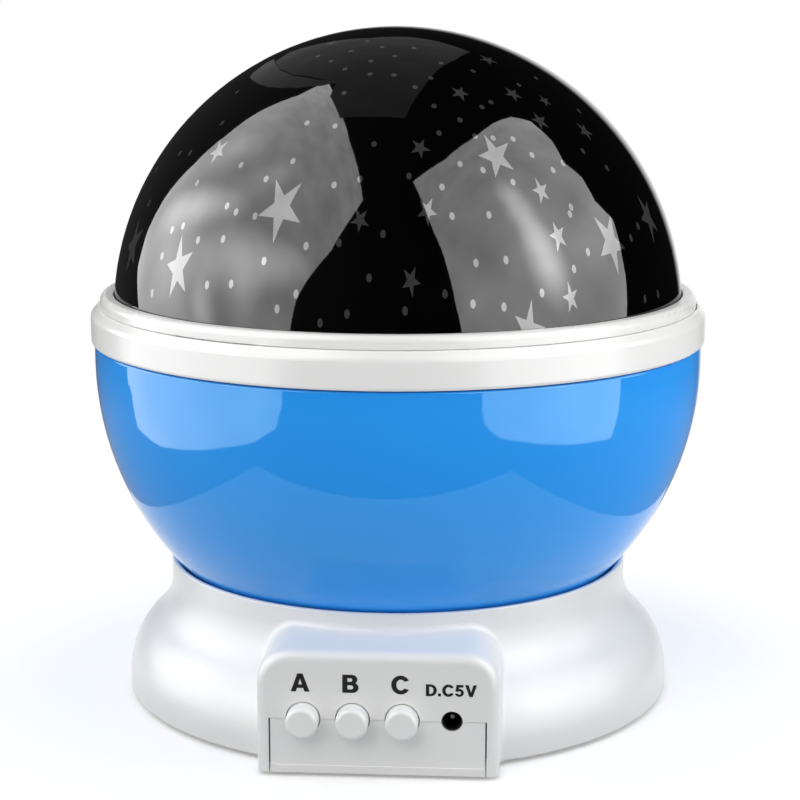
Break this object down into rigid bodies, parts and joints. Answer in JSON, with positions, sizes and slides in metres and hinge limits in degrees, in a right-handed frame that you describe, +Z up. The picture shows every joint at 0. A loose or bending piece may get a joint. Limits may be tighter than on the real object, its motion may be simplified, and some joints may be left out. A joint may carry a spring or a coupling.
{
  "type": "star night light projector",
  "caption": "Table night light: a round base with push buttons carries a motor-turned globe under a domed star mask that unlocks by a twist and lifts off the light head.",
  "frame": {"origin": "centre of the base on the surface that the feet stand on, on the globe's axis", "axes": "+Z up along the globe's axis, the control panel faces -Y, +X to the right seen from the panel"},
  "size_m": [0.13, 0.13, 0.1411],
  "materials": {
    "shell_white": "glossy moulded ABS",
    "ring_white": "glossy moulded ABS",
    "bowl_blue": "glossy moulded ABS",
    "dome_black": "glossy polycarbonate with a printed star mask",
    "collar_white": "moulded ABS",
    "button_white": "glossy moulded ABS",
    "gear_nylon": "natural nylon",
    "bush_acetal": "natural acetal",
    "steel": "bright zinc plated",
    "motor_can": "drawn steel can",
    "bracket_grey": "moulded ABS",
    "board_green": "glass-epoxy board with solder mask",
    "switch_black": "moulded nylon",
    "plunger_grey": "moulded nylon",
    "jack_black": "moulded nylon",
    "brass": "turned brass",
    "contact_nickel": "nickel plated spring steel",
    "cell_jacket": "plain shrink sleeve on a steel can",
    "foot_rubber": "soft matt rubber",
    "light_head_white": "moulded ABS",
    "led_red": "tinted epoxy lens",
    "led_green": "tinted epoxy lens",
    "led_blue": "tinted epoxy lens",
    "led_white": "clear epoxy lens",
    "wire_grey": "soft PVC sleeve",
    "wire_red": "soft PVC sleeve"
  },
  "bodies": {
    "base": {"base_shell": "shell_white", "bottom_cover": "shell_white", "cover_screws": "steel", "hub_bush": "bush_acetal", "idler_axle": "steel", "motor": "motor_can", "motor_bracket": "bracket_grey", "bracket_screws": "steel", "motor_screws": "steel", "led_post": "light_head_white", "led_board": "board_green", "led_holder": "light_head_white", "control_board": "board_green", "board_screws": "steel", "dc_jack": "jack_black", "dc_pin": "brass", "contact_plates": "contact_nickel", "contact_springs": "contact_nickel", "led_wires": "wire_grey", "motor_wires": "wire_grey", "battery_wires": "wire_red", "foot_1": "foot_rubber", "battery_cell_1": "cell_jacket", "foot_2": "foot_rubber", "battery_cell_2": "cell_jacket", "foot_3": "foot_rubber", "battery_cell_3": "cell_jacket", "foot_4": "foot_rubber", "battery_cell_4": "cell_jacket", "led_red": "led_red", "led_green": "led_green", "led_blue": "led_blue", "led_white": "led_white", "switch_a": "switch_black", "switch_b": "switch_black", "switch_c": "switch_black"},
    "globe": {"bowl": "bowl_blue", "drive_gear": "gear_nylon", "gear_screws": "steel"},
    "lock_ring": {"lock_ring": "ring_white"},
    "cover": {"trim_ring": "ring_white", "star_dome": "dome_black", "bayonet_collar": "collar_white"},
    "idler": {"idler_gear": "gear_nylon"},
    "pinion": {"pinion_gear": "gear_nylon", "motor_shaft": "steel"},
    "battery_door": {"battery_door": "shell_white", "door_screw": "steel"},
    "button_a": {"button_a": "button_white", "plunger_a": "plunger_grey"},
    "button_b": {"button_b": "button_white", "plunger_b": "plunger_grey"},
    "button_c": {"button_c": "button_white", "plunger_c": "plunger_grey"}
  },
  "joints": [
    {"name": "globe_spin", "type": "hinge", "parent": "base", "child": "globe", "pos_m": [0, 0, 0.024], "axis": [0, 0, 1], "continuous": true},
    {"name": "idler_spin", "type": "hinge", "parent": "base", "child": "idler", "pos_m": [0.02405, 0.00754, 0.0195], "axis": [0, 0, 1], "continuous": true},
    {"name": "pinion_spin", "type": "hinge", "parent": "base", "child": "pinion", "pos_m": [0.03701, -0.00001, 0.0195], "axis": [0, 0, 1], "continuous": true},
    {"name": "ring_twist", "type": "hinge", "parent": "globe", "child": "lock_ring", "pos_m": [0, 0, 0.08], "axis": [0, 0, 1], "range_deg": [0, 20]},
    {"name": "cover_lift", "type": "slide", "parent": "globe", "child": "cover", "axis": [0, 0, 1], "range_m": [0, 0.08]},
    {"name": "door_swing", "type": "hinge", "parent": "base", "child": "battery_door", "pos_m": [0, 0.0244, 0.0019], "axis": [1, 0, 0], "range_deg": [0, 75]},
    {"name": "button_a_press", "type": "slide", "parent": "base", "child": "button_a", "axis": [0, 1, 0], "range_m": [0, 0.0008], "stiffness_N_per_m": 1500, "springref_m": -0.0002},
    {"name": "button_b_press", "type": "slide", "parent": "base", "child": "button_b", "axis": [0, 1, 0], "range_m": [0, 0.0008], "stiffness_N_per_m": 1500, "springref_m": -0.0002},
    {"name": "button_c_press", "type": "slide", "parent": "base", "child": "button_c", "axis": [0, 1, 0], "range_m": [0, 0.0008], "stiffness_N_per_m": 1500, "springref_m": -0.0002}
  ],
  "couplings": [
    {"joint": "idler_spin", "follows": "globe_spin", "ratio": -6},
    {"joint": "pinion_spin", "follows": "globe_spin", "ratio": 24}
  ]
}
